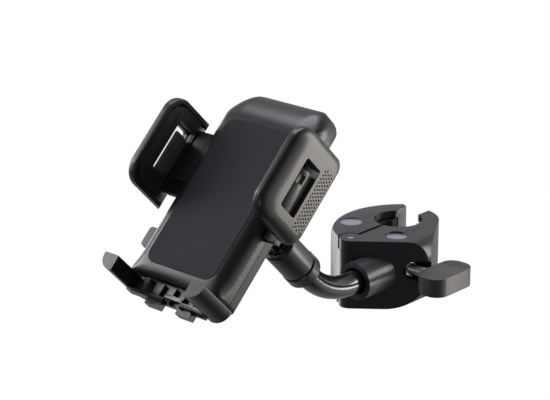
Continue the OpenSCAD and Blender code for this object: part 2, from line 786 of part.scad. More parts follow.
// Flange, cone, neck and ball, turned as one piece
module ball_stem() {
    top = ball_back + seat_z;
    cone = 18;
    color([0.12, 0.12, 0.13]) at_ball() difference() {
        union() {
            sphere(r = ball_r);
            cylinder(h = top - 2, r = neck_d / 2);
            translate([0, 0, top - flange_t - cone]) cylinder(h = cone + 1, r1 = neck_d / 2, r2 = 8.5);
            translate([0, 0, top - flange_t]) cylinder(h = flange_t - seat, r = flange_d / 2);
            translate([0, 0, top - flange_t]) cylinder(h = flange_t + seat_t + seat, r = spigot_r);
        }
        translate([0, 0, top - 12]) cylinder(h = 12 + seat_t + over, r = stem_screw_r + seat);
    }
}

// Washer that keeps the stem's spigot in the back cover
module stem_washer() {
    color([0.7, 0.7, 0.74]) at_ball() translate([0, 0, ball_back + seat_z + seat_t + seat]) difference() {
        cylinder(h = washer_t, r = stem_pocket_r - 0.4);
        translate([0, 0, -over]) cylinder(h = washer_t + 2 * over, r = stem_screw_r + seat);
    }
}

// Screw along the stem's axis
module stem_screw() {
    top = ball_back + seat_z + seat_t + seat + washer_t;
    color([0.7, 0.7, 0.74]) at_ball() difference() {
        union() {
            translate([0, 0, top]) cylinder(h = 2.2, r = 3.4);
            translate([0, 0, top - 12]) cylinder(h = 12 + over, r = stem_screw_r);
        }
        for (t = [0, 90]) rotate([0, 0, t]) translate([-2, -0.4, top + 1]) cube([4, 0.8, 2]);
    }
}

// Slotted socket with its end ring, fixed on the tube
module ball_socket() {
    back = -socket_reach;
    color([0.15, 0.15, 0.16]) at_ball() difference() {
        union() {
            translate([0, 0, back]) cylinder(h = end_ring_l - ring_edge, r = end_ring_r);
            translate([0, 0, back + end_ring_l - ring_edge])
                cylinder(h = ring_edge, r1 = end_ring_r, r2 = end_ring_r - ring_edge);
            translate([0, 0, back]) cylinder(h = socket_reach + sleeve_top, r = sleeve_r);
        }
        sphere(r = socket_r);
        cylinder(h = 4, r = socket_r - 0.9);
        translate([0, 0, back - over]) cylinder(h = tube_stop + over, r = tube_r + pin_fit);
        for (a = [0, 90]) rotate([0, 0, a])
            translate([-sleeve_r - over, -0.6, -4]) cube([2 * (sleeve_r + over), 1.2, 8]);
    }
}

// Collar nut that squeezes the socket round the ball
module collar_nut() {
    low = -socket_reach + end_ring_l + ring_groove;
    high = collar_reach;
    color([0.24, 0.24, 0.26]) at_ball() difference() {
        union() {
            translate([0, 0, low]) cylinder(h = high - low - 1, r = collar_r);
            translate([0, 0, high - 1]) cylinder(h = 1, r1 = collar_r, r2 = collar_r - 1);
        }
        translate([0, 0, low - over]) cylinder(h = collar_lip - low + over, r = sleeve_r + 0.1);
        translate([0, 0, sleeve_top - over]) cylinder(h = 2 * over, r = ball_r - 0.3);
        translate([0, 0, sleeve_top]) cylinder(h = high - sleeve_top, r1 = ball_r - 0.3, r2 = ball_r + 0.6);
        translate([0, 0, high - 0.01]) cylinder(h = over, r = ball_r + 0.6);
    }
}

// Tube with one bend, from the jaw's boss into the socket
module arm_tube() {
    bore = tube_r - 1.8;
    color([0.05, 0.05, 0.06]) difference() {
        union() {
            translate([arm_x, start_y - lap, arm_rise]) rotate([-90, 0, 0])
                cylinder(h = tube_lead + tube_in + lap, r = tube_r);
            translate([arm_x, start_y, arm_rise + bend_r]) rotate([0, 90, 180])
                rotate_extrude(angle = lean) translate([bend_r, 0]) circle(r = tube_r - 0.03);
            at_ball() translate([0, 0, -tube_tip - lap])
                cylinder(h = tube_tip + lap - socket_reach + tube_stop - seat, r = tube_r);
        }
        at_ball() translate([0, 0, 4 - socket_reach]) cylinder(h = tube_stop, r = bore);
        translate([arm_x, -boss_reach, arm_rise]) rotate([-90, 0, 0]) cylinder(h = tube_in + over, r = bore);
    }
}

// Bar clamp

// Cylinder along X with its middle at the screw's height
module screw_cylinder(x0, x1, r) {
    translate([x0, barrel_y, screw_rise]) rotate([0, 90, 0]) cylinder(h = x1 - x0, r = r);
}

// Slot along X that lets the screw swing by dy
module screw_slot(x0, x1, r, dy) {
    screw_cylinder(x0, x1, r);
    translate([0, dy, 0]) screw_cylinder(x0, x1, r);
    translate([x0, barrel_y + min(dy, 0), screw_rise - r]) cube([x1 - x0, abs(dy), 2 * r]);
}

// Plan of the front jaw before its bar hole and slit
module front_plan() {
    tip_x = mouth_w / 2 - mouth_shift;
    c = flank_end - flank_corner_r * [cos(flank_deg + 45), sin(flank_deg + 45)] + [-0.6, 0.6];
    difference() {
        union() {
            hull() {
                translate(c) circle(r = flank_corner_r);
                circle(r = ring_r);
            }
            hull() {
                translate([0, hinge_y]) circle(r = knuckle_r);
                translate(c) circle(r = flank_corner_r);
                translate([0, barrel_y]) circle(r = 2);
            }
        }
        translate([-100 + tip_x, 0]) square([100, 100]);
        translate([-100 + slit_w / 2, hinge_y]) square([100, 100]);
    }
    translate([0, hinge_y]) circle(r = knuckle_r);
}

// Side view of the front jaw in X and Z: square at the hinge, well rounded at the free corner
module front_profile() {
    end = flank_end[0];
    top_b = 11;
    low_b = half_h - 1;
    low = quarter([end - corner_low_a, -half_h + low_b], corner_low_a, -low_b, 12);
    polygon(concat([[-60, -half_h]], [for (i = [12 : -1 : 0]) low[i]],
        quarter([end - corner_top_a, half_h - top_b], corner_top_a, top_b, 12), [[-60, half_h]]));
}

// Jaw with the round boss for the tube
module front_jaw() {
    color([0.29, 0.30, 0.34]) difference() {
        union() {
            intersection() {
                translate([0, 0, -half_h]) linear_extrude(jaw_h) front_plan();
                along_y(-100, 100) front_profile();
            }
            translate([arm_x, -boss_reach, arm_rise]) rotate([-90, 0, 0])
                cylinder(h = boss_reach + barrel_y - barrel_r - 3, d = boss_d);
        }
        jaw_bore();
        translate([0, hinge_y, -mid_knuckle_z - run / 2]) cylinder(h = 2 * mid_knuckle_z + run, r = knuckle_r + run);
        translate([-knuckle_r - over, hinge_y, -mid_knuckle_z - run / 2])
            cube([knuckle_r + over + slit_w / 2, 2 * knuckle_r, 2 * mid_knuckle_z + run]);
        translate([0, hinge_y, -half_h - over]) cylinder(h = jaw_h + 2 * over, r = hinge_pin_d / 2 + pin_fit);
        translate([arm_x, -boss_reach - over, arm_rise]) rotate([-90, 0, 0])
            cylinder(h = tube_in + over, r = tube_r + pin_fit);
        translate([arm_x, -boss_reach - over, arm_rise]) rotate([-90, 0, 0])
            cylinder(h = 2.5 + over, r1 = tube_r + 2.2, r2 = tube_r);
        translate([barrel_x, barrel_y, -half_h + 1]) cylinder(h = jaw_h, r = barrel_r + pin_fit);
        screw_slot(0, barrel_x, screw_r + 0.6, -barrel_x * screw_swing);
        screw_slot(recess_floor_x, flank_end[0] + 10, screw_recess_d / 2, 2.4);
    }
}

// Room of the bar and of the linings
module jaw_bore() {
    translate([0, 0, -half_h - over]) cylinder(h = jaw_h + 2 * over, r = lip_r);
    translate([0, 0, -liner_h / 2 - 0.8]) cylinder(h = liner_h + 1.6, r = pocket_r);
}

// Plan of the rear jaw before its back is rounded and its bar hole cut
module rear_plan() {
    tip_x = mouth_w / 2 + mouth_shift;
    difference() {
        hull() {
            translate([0, hinge_y]) circle(r = knuckle_r);
            polygon([[rear_far_x, rear_low_y], [rear_far_x, tip_back[1]], tip_back, [-tip_x, tip_mouth_y],
                [-slit_w / 2, -bore_r], [-slit_w / 2, hinge_y + knuckle_r]]);
        }
        translate([-tip_x, 0]) square([100, 100]);
        translate([-slit_w / 2, hinge_y]) square([100, 100]);
    }
    translate([0, hinge_y]) circle(r = knuckle_r);
}

// Solid of revolution that bounds the rear jaw's curved back and rounds its upper and lower edges
module rear_back() {
    flat_h = half_h - rear_round_b;
    up = quarter([rear_arc_r - rear_round_a, flat_h], rear_round_a, rear_round_b, 8);
    translate(rear_centre) rotate_extrude($fn = 180) polygon(concat([[0, -half_h]],
        [for (i = [8 : -1 : 0]) [up[i][0], -up[i][1]]], up, [[0, half_h]]));
}

// Jaw that swings on the pin
module rear_jaw() {
    color([0.29, 0.30, 0.34]) difference() {
        intersection() {
            translate([0, 0, -half_h]) linear_extrude(jaw_h) rear_plan();
            rear_back();
        }
        jaw_bore();
        for (z = [mid_knuckle_z, -half_h - over])
            translate([0, hinge_y, z]) cylinder(h = outer_knuckle_h + over, r = knuckle_r + run + 0.8);
        for (z = [mid_knuckle_z, -half_h - over])
            translate([-slit_w / 2, hinge_y - 2 * knuckle_r, z]) cube([20, 40, outer_knuckle_h + over]);
        translate([0, hinge_y, -half_h]) cylinder(h = jaw_h, r = hinge_pin_d / 2 + pin_fit);
        translate([-barrel_x, barrel_y, -half_h + 1]) cylinder(h = jaw_h, r = barrel_r + pin_fit);
        screw_slot(-barrel_x, 0, screw_r + 0.6, -barrel_x * screw_swing);
        screw_slot(screw_end_x - 0.6, -barrel_x, screw_r + 0.5, (barrel_r + 1) * screw_swing);
    }
}

// Rubber lining of one jaw
module jaw_pad(x_sign) {
    tip = x_sign > 0 ? mouth_w / 2 - mouth_shift : mouth_w / 2 + mouth_shift;
    difference() {
        translate([0, 0, -liner_h / 2]) cylinder(h = liner_h, r = pocket_r - seat);
        translate([0, 0, -liner_h / 2 - over]) cylinder(h = liner_h + 2 * over, r = bore_r);
        translate([x_sign > 0 ? -60 : -tip - 0.4, 0, -40]) cube([x_sign > 0 ? 60 + tip + 0.4 : 60, 60, 80]);
        translate([x_sign > 0 ? -60 : -3.5, -60, -40]) cube([x_sign > 0 ? 63.5 : 60, 61, 80]);
    }
}

module front_jaw_pad() {
    color([0.08, 0.08, 0.09]) jaw_pad(1);
}

module rear_jaw_pad() {
    color([0.08, 0.08, 0.09]) jaw_pad(-1);
}

// Steel pin through the three knuckles
module hinge_pin() {
    color([0.78, 0.78, 0.82]) translate([0, hinge_y, -half_h + 0.3]) cylinder(h = jaw_h - 0.5, d = hinge_pin_d);
}

// Plain barrel in the front jaw with a flat for the washer
module swivel_barrel() {
    color([0.78, 0.78, 0.84]) difference() {
        translate([barrel_x, barrel_y, -half_h + 1.1]) cylinder(h = jaw_h - 2.4, r = barrel_r);
        screw_cylinder(0, 2 * barrel_x, screw_r + pin_fit);
        translate([barrel_x + flat_x, barrel_y - barrel_r, screw_rise - washer_r - 0.4])
            cube([barrel_r, 2 * barrel_r, 2 * washer_r + 0.8]);
    }
}

// Threaded barrel in the rear jaw
module nut_barrel() {
    color([0.78, 0.78, 0.84]) difference() {
        translate([-barrel_x, barrel_y, -half_h + 1.1]) cylinder(h = jaw_h - 1.7, r = barrel_r);
        screw_cylinder(-2 * barrel_x, 0, screw_r + pin_fit);
    }
}

// Screw from the threaded barrel to the knob
module clamp_screw() {
    color([0.75, 0.74, 0.72]) screw_cylinder(screw_end_x, knob_x + 12, screw_r);
}

// Washer between the swivel barrel's flat and the nut
module thrust_washer() {
    x = barrel_x + flat_x;
    color([0.78, 0.78, 0.82]) difference() {
        screw_cylinder(x + seat, x + washer_t, washer_r);
        screw_cylinder(x - over, x + washer_t + over, screw_r + pin_fit);
    }
}

// Nut fixed on the screw, which carries its pull
module lock_nut() {
    x = barrel_x + flat_x + washer_t + seat;
    color([0.72, 0.72, 0.76]) difference() {
        translate([x, barrel_y, screw_rise]) rotate([0, 90, 0])
            cylinder(h = nut_h, r = nut_af / 2 / cos(30), $fn = 6);
        screw_cylinder(x - over, x + nut_h + over, screw_r + seat);
    }
}

// T-shaped knob with grip grooves and a socket for the screw
module clamp_knob() {
    r = 8;
    groove_pitch = 2.6;
    color([0.30, 0.31, 0.34]) translate([knob_x, barrel_y, screw_rise]) difference() {
        translate([0, 0, -knob_t / 2]) linear_extrude(knob_t)
            polygon(round_rect(0, -knob_l / 2, knob_w, knob_l / 2, [r, r, r, r], 10));
        rotate([0, 90, 0]) translate([0, 0, -over]) cylinder(h = 12 + over + seat, r = screw_r + seat);
        for (s = [-1, 1], i = [0 : knob_grooves - 1], z = [-1, 1])
            translate([2, s * (knob_l / 2 - 4 - i * groove_pitch) - 0.4, z * knob_t / 2 - 0.4])
                cube([knob_w - 4, 0.8, 0.8]);
    }
}

front_shell();
rear_shell();
front_mat();
left_slider();
right_slider();
left_arm();
right_arm();
left_arm_pad();
right_arm_pad();
left_arm_insert();
right_arm_insert();
pinion();
pinion_axle();
arm_spring();
release_button();
button_spring();
foot_tray();
shell_screws();
stem_washer();
stem_screw();
ball_stem();
ball_socket();
collar_nut();
arm_tube();
front_jaw();
rear_jaw();
front_jaw_pad();
rear_jaw_pad();
hinge_pin();
swivel_barrel();
nut_barrel();
clamp_screw();
thrust_washer();
lock_nut();
clamp_knob();
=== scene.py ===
# %% [markdown]
# # A bar-mounted phone holder
# The construction model gives every piece at its real size, already placed. This lesson dresses it:
# smooth shells, turned pieces, coils, the bent tube and the screw's thread are worked out as numpy
# surfaces, nearly all the others get soft edges, and every finish is a small network of procedural
# nodes. We begin by loading the model and noting its box, because no dressed piece may grow past it.

# %% Load the construction model
import bpy
import bmesh
import json
import math
import numpy as np
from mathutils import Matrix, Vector


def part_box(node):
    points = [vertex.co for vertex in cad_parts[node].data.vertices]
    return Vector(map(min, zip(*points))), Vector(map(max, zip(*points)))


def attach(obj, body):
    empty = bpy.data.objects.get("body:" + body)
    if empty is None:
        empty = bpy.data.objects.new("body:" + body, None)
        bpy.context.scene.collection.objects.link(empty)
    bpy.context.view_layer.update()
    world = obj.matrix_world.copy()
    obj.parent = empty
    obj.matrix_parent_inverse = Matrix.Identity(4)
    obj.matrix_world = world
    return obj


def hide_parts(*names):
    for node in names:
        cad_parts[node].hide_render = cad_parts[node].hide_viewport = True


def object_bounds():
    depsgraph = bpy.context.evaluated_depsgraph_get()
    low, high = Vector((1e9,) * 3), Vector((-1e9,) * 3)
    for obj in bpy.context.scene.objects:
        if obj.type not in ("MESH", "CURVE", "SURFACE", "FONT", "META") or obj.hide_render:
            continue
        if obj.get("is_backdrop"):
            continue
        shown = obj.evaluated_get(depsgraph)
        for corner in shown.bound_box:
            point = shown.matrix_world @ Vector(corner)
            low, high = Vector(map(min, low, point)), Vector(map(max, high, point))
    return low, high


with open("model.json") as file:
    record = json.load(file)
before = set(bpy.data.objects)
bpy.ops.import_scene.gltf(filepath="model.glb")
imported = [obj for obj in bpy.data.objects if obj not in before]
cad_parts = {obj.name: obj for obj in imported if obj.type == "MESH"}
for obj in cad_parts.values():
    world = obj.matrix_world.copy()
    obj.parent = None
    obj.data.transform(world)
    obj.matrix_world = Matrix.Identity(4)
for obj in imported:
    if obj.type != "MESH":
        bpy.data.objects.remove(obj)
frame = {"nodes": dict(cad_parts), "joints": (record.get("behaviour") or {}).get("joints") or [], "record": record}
cad_low, cad_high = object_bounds()
nodes = frame["nodes"]
body_of = {n: b for b, names in frame["record"]["behaviour"]["bodies"].items() for n in names}
mm = 0.001
print("pieces from the construction model:", len(nodes))

# %% [markdown]
# ## Two coordinate systems
# The cradle leans back on its ball joint, so its walls are not square to the world. We describe
# its pieces in the cradle's own directions instead: u across, v up the mat, n out of the mat. One
# function turns such points into world points. It reads the lean from the mount on the mat's face,
# so it agrees with the construction model whatever that holds.

# %% The cradle's own directions
bed = next(m for m in frame["record"]["mounts"] if m["name"] == "phone_bed")
bed_point = np.array(bed["pos_m"])
axis_n = np.array(bed["axis"], dtype=float)
axis_u = np.array([1.0, 0.0, 0.0])
axis_v = np.cross(axis_n, axis_u)


def cradle(u, v, n):
    """World points of cradle coordinates in millimetres, counted from the middle of the mat's face."""
    u, v, n = np.broadcast_arrays(u, v, n)
    return bed_point + mm * (u[..., None] * axis_u + v[..., None] * axis_v + n[..., None] * axis_n)


tilt_joint = next(j for j in frame["joints"] if j["name"] == "ball_tilt")
ball = np.array(tilt_joint["pos_m"])
print("the cradle leans back by", round(math.degrees(math.acos(axis_v[1])), 2), "degrees")

# %% [markdown]
# ## Camera and light
# A product photograph on white is lit by large soft sources, and they explain most of what we see
# on dark plastic: a cool overhead box greys the upward faces, and a warm strip behind at the right
# draws the long bright edges. A long lens from a distance of 1.27 m keeps the walls nearly
# parallel.

# %% Camera at the photograph's angle
AZIMUTH, ELEVATION, DISTANCE = 42.52, 19.23, 1.268
FRAME_WIDTH = 550
FOCAL_PIXELS = 2095.0
# pixel of the photograph at which the bar opening's centre lies, and the middle of the frame
ORIGIN_PIXEL = np.array([397.49, 251.67])
MIDDLE_PIXEL = np.array([275.0, 200.0])

a, e = math.radians(AZIMUTH), math.radians(ELEVATION)
back = Vector((math.sin(a) * math.cos(e), -math.cos(a) * math.cos(e), math.sin(e)))
right = Vector((math.cos(a), math.sin(a), 0.0))
up = back.cross(right)
offset = (ORIGIN_PIXEL - MIDDLE_PIXEL) / FOCAL_PIXELS * DISTANCE
camera_data = bpy.data.cameras.new("product_camera")
camera_data.sensor_width = 36.0
camera_data.lens = FOCAL_PIXELS * camera_data.sensor_width / FRAME_WIDTH
camera_data.clip_start, camera_data.clip_end = 0.05, 20
camera = bpy.data.objects.new("product_camera", camera_data)
bpy.context.scene.collection.objects.link(camera)
camera.location = back * DISTANCE - right * float(offset[0]) + up * float(offset[1])
camera.rotation_euler = (math.pi / 2 - e, 0, a)
bpy.context.scene.camera = camera
print("lens of", round(camera_data.lens, 1), "mm at", [round(c, 3) for c in camera.location])


# %% Soft boxes
def soft_box(name, place, aim, size, power, colour):
    """A rectangular area light at place, turned so that its face looks at aim."""
    data = bpy.data.lights.new(name, "AREA")
    data.shape, data.size, data.size_y = "RECTANGLE", size[0], size[1]
    data.energy, data.color = power, colour
    light = bpy.data.objects.new(name, data)
    light.location = place
    light.rotation_euler = (Vector(aim) - Vector(place)).to_track_quat("-Z", "Y").to_euler()
    bpy.context.scene.collection.objects.link(light)
    return light


centre = (0.005, -0.10, 0.05)
soft_box("overhead", (-0.30, 0.15, 1.05), centre, (0.9, 0.6), 9.0, (0.90, 0.94, 1.0))
soft_box("right_strip", (0.85, 0.75, 0.10), centre, (0.30, 1.0), 9.0, (1.0, 0.93, 0.84))
soft_box("left_fill", (-0.95, -0.60, 0.40), centre, (0.4, 0.9), 11.0, (0.96, 0.98, 1.0))
soft_box("front_low", (0.55, -1.2, 0.1), centre, (0.4, 0.4), 1.2, (1.0, 1.0, 1.0))
soft_box("left_low", (-0.95, 0.10, -0.12), centre, (0.5, 0.8), 3.0, (1.0, 1.0, 1.0))
print("soft boxes:", len(bpy.data.lights))

# %% [markdown]
# ## A sky of two kinds
# Dark gloss shows its surroundings more than its own colour. The camera sees a pure white sky, but
# the pieces meet one that is graded by direction: dark in front of them, brighter behind, and
# brightest at the right. Faces turned to us then stay nearly black, while their edges, which mirror
# what lies behind, turn light.


# %% White to the camera, graded to the pieces
def seen_white(tree, shown, lit, out):
    """Mixes two shaders: the camera sees the first, and every other ray meets the second."""
    path = tree.nodes.new("ShaderNodeLightPath")
    mix = tree.nodes.new("ShaderNodeMixShader")
    tree.links.new(path.outputs["Is Camera Ray"], mix.inputs[0])
    tree.links.new(lit.outputs[0], mix.inputs[1])
    tree.links.new(shown.outputs[0], mix.inputs[2])
    tree.links.new(mix.outputs[0], out.inputs["Surface"])


SKY_FRONT, SKY_BEHIND, SKY_RIGHT = 0.06, 0.42, 0.9
world = bpy.data.worlds.new("white_studio")
bpy.context.scene.world = world
world.use_nodes = True
sky = world.node_tree


def sky_share(direction, low, high, least, most):
    """Strength that rises smoothly from least to most as a ray turns towards a direction: low and high
    are the cosines between which it rises."""
    place = sky.nodes.new("ShaderNodeTexCoord")
    towards = sky.nodes.new("ShaderNodeVectorMath")
    towards.operation = "DOT_PRODUCT"
    towards.inputs[1].default_value = direction
    ramp = sky.nodes.new("ShaderNodeMapRange")
    ramp.interpolation_type = "SMOOTHSTEP"
    for label, value in (("From Min", low), ("From Max", high), ("To Min", least), ("To Max", most)):
        ramp.inputs[label].default_value = value
    sky.links.new(place.outputs["Generated"], towards.inputs[0])
    sky.links.new(towards.outputs["Value"], ramp.inputs["Value"])
    return ramp.outputs["Result"]


sky_lit = sky.nodes["Background"]
sky_lit.inputs["Color"].default_value = (1.0, 0.98, 0.96, 1)
sky_sum = sky.nodes.new("ShaderNodeMath")
sky.links.new(sky_share(-back, 0.05, 0.45, SKY_FRONT, SKY_BEHIND), sky_sum.inputs[0])
sky.links.new(sky_share(right, 0.55, 0.95, 0.0, SKY_RIGHT), sky_sum.inputs[1])
sky.links.new(sky_sum.outputs[0], sky_lit.inputs["Strength"])
sky_shown = sky.nodes.new("ShaderNodeBackground")
sky_shown.inputs["Color"].default_value = (1.0, 1.0, 1.0, 1)
seen_white(sky, sky_shown, sky_lit, sky.nodes["World Output"])
bpy.context.scene.view_settings.view_transform = "Standard"
print("sky seen by the plastic, in front, behind and at the right:", SKY_FRONT, SKY_BEHIND, SKY_RIGHT)

# %% [markdown]
# ## Turning grids into meshes
# Every surface that we draw ourselves is a grid of points: rows along one parameter, columns along
# another. One function makes quads between neighbours, closes the grid where it comes round on
# itself, and puts a flat lid on open ends, so each piece is a closed solid. Its faces must point
# outwards, and Blender's own normal tool settles that at the end.

# %% Mesh from a grid
def grid_mesh(name, points, around=True, lids=True):
    """Mesh of a (rows, columns, 3) grid: quads between neighbours, the last column joined to the first
    if it goes around, and one flat face on the first row and on the last."""
    rows, cols = points.shape[:2]
    index = np.arange(rows * cols).reshape(rows, cols)
    nxt = np.roll(index, -1, axis=1) if around else index[:, 1:]
    here = index if around else index[:, :-1]
    quads = np.stack([here[:-1], nxt[:-1], nxt[1:], here[1:]], axis=-1).reshape(-1, 4)
    faces = quads.tolist()
    if lids:
        faces += [index[0][::-1].tolist(), index[-1].tolist()]
    mesh = bpy.data.meshes.new(name)
    mesh.from_pydata(points.reshape(-1, 3), [], faces)
    return mesh


def outward(mesh):
    """Welds coincident points and turns every closed surface's faces outwards."""
    bm = bmesh.new()
    bm.from_mesh(mesh)
    bmesh.ops.remove_doubles(bm, verts=bm.verts, dist=2e-6)
    bmesh.ops.recalc_face_normals(bm, faces=bm.faces)
    bm.to_mesh(mesh)
    bm.free()
    mesh.update()


def shade(mesh, sharp_deg):
    """Smooth shading that stays crisp where two faces meet at more than the given angle."""
    mesh.polygons.foreach_set("use_smooth", np.ones(len(mesh.polygons), dtype=bool))
    mesh.set_sharp_from_angle(angle=math.radians(sharp_deg))


def join_meshes(name, meshes):
    """One mesh holding several closed surfaces side by side."""
    bm = bmesh.new()
    for m in meshes:
        bm.from_mesh(m)
    whole = bpy.data.meshes.new(name)
    bm.to_mesh(whole)
    bm.free()
    return whole


def dress(node, mesh, material, sharp_deg=32, recalc=True):
    """Puts a mesh in the scene as the piece that stands for a construction node."""
    if recalc:
        outward(mesh)
    shade(mesh, sharp_deg)
    piece = bpy.data.objects.new(node + "_look", mesh)
    bpy.context.scene.collection.objects.link(piece)
    mesh.materials.append(material)
    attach(piece, body_of[node])
    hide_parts(node)
    return piece


# %% [markdown]
# ## Softening a machined solid
# Moulded and cast pieces never have knife edges. Where the construction solid already has the
# right form, we copy it, weld its triangles, merge the flat ones into whole faces, and let a narrow
# bevel catch the light along each edge. The original stays untouched underneath.

# %% Softened copy of a construction solid
def softened(node, material, width, segments=2, edge_deg=28, sharp_deg=40):
    """A welded copy of a node with a bevel of the given width in millimetres along its sharp edges."""
    source = nodes[node].data
    mesh = source.copy()
    bm = bmesh.new()
    bm.from_mesh(mesh)
    bmesh.ops.remove_doubles(bm, verts=bm.verts, dist=2e-6)
    bmesh.ops.dissolve_limit(bm, angle_limit=math.radians(0.4), verts=bm.verts, edges=bm.edges)
    bm.to_mesh(mesh)
    bm.free()
    mesh.materials.clear()
    piece = dress(node, mesh, material, sharp_deg, recalc=False)
    if width > 0:
        bevel = piece.modifiers.new("soft_edges", "BEVEL")
        bevel.width = width * mm
        bevel.segments = segments
        bevel.limit_method = "ANGLE"
        bevel.angle_limit = math.radians(edge_deg)
        bevel.harden_normals = True
    return piece


# %% [markdown]
# ## Shader building blocks
# All the finishes share two effects: a fine grain that roughens the gloss, and slow changes of tone
# that keep large faces from looking computed. One node group, built once, makes both. The grain's
# scale and the strength of each effect are its inputs, and each finish feeds it object coordinates,
# which every piece shares with the world at rest.

# %% Node group for moulded grain
def group_with(name, inputs, outputs):
    """Empty shader group: an input socket is (name, kind, default) and an output socket (name, kind)."""
    group = bpy.data.node_groups.new(name, "ShaderNodeTree")
    for label, kind, default in inputs:
        socket = group.interface.new_socket(label, in_out="INPUT", socket_type=kind)
        if default is not None:
            socket.default_value = default
    for label, kind in outputs:
        group.interface.new_socket(label, in_out="OUTPUT", socket_type=kind)
    return group, group.nodes.new("NodeGroupInput"), group.nodes.new("NodeGroupOutput")


def moulded_grain():
    """Group: noise at grain scale gives a height and bends the roughness, a slower noise the colour."""
    group, src, out = group_with(
        "moulded_grain",
        [("Vector", "NodeSocketVector", None), ("Color", "NodeSocketColor", (0.1, 0.1, 0.1, 1)),
         ("Roughness", "NodeSocketFloat", 0.5), ("Grain Scale", "NodeSocketFloat", 1500.0),
         ("Tone Change", "NodeSocketFloat", 0.12), ("Gloss Change", "NodeSocketFloat", 0.08)],
        [("Color", "NodeSocketColor"), ("Roughness", "NodeSocketFloat"), ("Height", "NodeSocketFloat")])
    new, link = group.nodes.new, group.links.new
    grain = new("ShaderNodeTexNoise")
    grain.inputs["Detail"].default_value = 3.0
    link(src.outputs["Vector"], grain.inputs["Vector"])
    link(src.outputs["Grain Scale"], grain.inputs["Scale"])
    link(grain.outputs["Fac"], out.inputs["Height"])
    slow = new("ShaderNodeTexNoise")
    slow.inputs["Scale"].default_value = 38.0
    slow.inputs["Detail"].default_value = 4.0
    link(src.outputs["Vector"], slow.inputs["Vector"])
    centred = new("ShaderNodeMath")
    centred.operation = "SUBTRACT"
    centred.inputs[1].default_value = 0.5
    link(slow.outputs["Fac"], centred.inputs[0])
    tone = new("ShaderNodeMath")
    tone.operation = "MULTIPLY_ADD"
    tone.inputs[2].default_value = 1.0
    link(centred.outputs[0], tone.inputs[0])
    link(src.outputs["Tone Change"], tone.inputs[1])
    scaled = new("ShaderNodeVectorMath")
    scaled.operation = "SCALE"
    link(src.outputs["Color"], scaled.inputs[0])
    link(tone.outputs[0], scaled.inputs["Scale"])
    link(scaled.outputs[0], out.inputs["Color"])
    mixed = new("ShaderNodeMath")
    mixed.operation = "MULTIPLY_ADD"
    link(grain.outputs["Fac"], mixed.inputs[0])
    link(src.outputs["Gloss Change"], mixed.inputs[1])
    link(src.outputs["Roughness"], mixed.inputs[2])
    link(mixed.outputs[0], out.inputs["Roughness"])
    return group


GRAIN = moulded_grain()


# %% [markdown]
# ## The plastics, rubbers and lacquer
# One maker covers them all. The satin housing has a fine grain and a medium roughness, the rubber
# lining is rougher and a little darker, and the lacquered tube is the smoothest, with a clear coat.

# %% Plastic-like materials
def moulded(name, colour, rough, grain_scale=1500.0, bump=0.15, tone=0.12, gloss=0.08,
            coat=0.0, coat_rough=0.1, specular=0.5):
    """Principled material whose colour, roughness and height come from the moulded grain group."""
    mat = bpy.data.materials.new(name)
    mat.use_nodes = True
    tree = mat.node_tree
    shader = tree.nodes["Principled BSDF"]
    shader.inputs["Specular IOR Level"].default_value = specular
    shader.inputs["Coat Weight"].default_value = coat
    shader.inputs["Coat Roughness"].default_value = coat_rough
    place = tree.nodes.new("ShaderNodeTexCoord")
    grain = tree.nodes.new("ShaderNodeGroup")
    grain.node_tree = GRAIN
    grain.inputs["Color"].default_value = (*colour, 1)
    grain.inputs["Roughness"].default_value = rough - gloss / 2
    grain.inputs["Grain Scale"].default_value = grain_scale
    grain.inputs["Tone Change"].default_value = tone
    grain.inputs["Gloss Change"].default_value = gloss
    tree.links.new(place.outputs["Object"], grain.inputs["Vector"])
    tree.links.new(grain.outputs["Color"], shader.inputs["Base Color"])
    tree.links.new(grain.outputs["Roughness"], shader.inputs["Roughness"])
    bumps = tree.nodes.new("ShaderNodeBump")
    bumps.inputs["Strength"].default_value = bump
    bumps.inputs["Distance"].default_value = 0.00015
    tree.links.new(grain.outputs["Height"], bumps.inputs["Height"])
    tree.links.new(bumps.outputs["Normal"], shader.inputs["Normal"])
    return mat


housing = moulded("satin_charcoal_housing", (0.015, 0.015, 0.016), 0.32)
cover = moulded("back_cover_charcoal", (0.015, 0.015, 0.016), 0.38)
grip = moulded("grip_charcoal", (0.015, 0.016, 0.018), 0.32)
tray = moulded("foot_charcoal", (0.011, 0.011, 0.012), 0.30)
mat_face = moulded("anti_slip_mat", (0.029, 0.030, 0.036), 0.80, grain_scale=2600.0, bump=0.5,
                   tone=0.08, gloss=0.06, specular=0.22)
lining = moulded("black_rubber_lining", (0.012, 0.012, 0.013), 0.62, grain_scale=2000.0, bump=0.3,
                 specular=0.4)
plate = moulded("pale_window_plate", (0.08, 0.08, 0.085), 0.33)
natural = moulded("natural_gear_moulding", (0.55, 0.54, 0.50), 0.40)
black_smooth = moulded("smooth_black_moulding", (0.016, 0.016, 0.018), 0.30)
lacquer = moulded("gloss_black_lacquer", (0.010, 0.010, 0.011), 0.16, grain_scale=500.0, bump=0.02,
                  tone=0.05, gloss=0.02, coat=0.35, coat_rough=0.08)
jaw_skin = moulded("jaw_dark_grey", (0.030, 0.031, 0.038), 0.31, grain_scale=1300.0, bump=0.08,
                   tone=0.08, gloss=0.04)
knob_skin = moulded("knob_dark_grey", (0.060, 0.060, 0.066), 0.28, grain_scale=1300.0, bump=0.03,
                    tone=0.05, gloss=0.03)
finishes = [housing, cover, grip, tray, mat_face, lining, plate, natural, black_smooth, lacquer]
finishes += [jaw_skin, knob_skin]
print("moulded finishes:", len(finishes))

# %% [markdown]
# ## Steel
# Turned steel shows fine rings round its axis. At this scale noise can stand for them: in the finish
# of the turned pieces it is over five times finer along z, so its marks lie round the clamp's
# upright pins. On the thin wire and the thread an even noise will do.


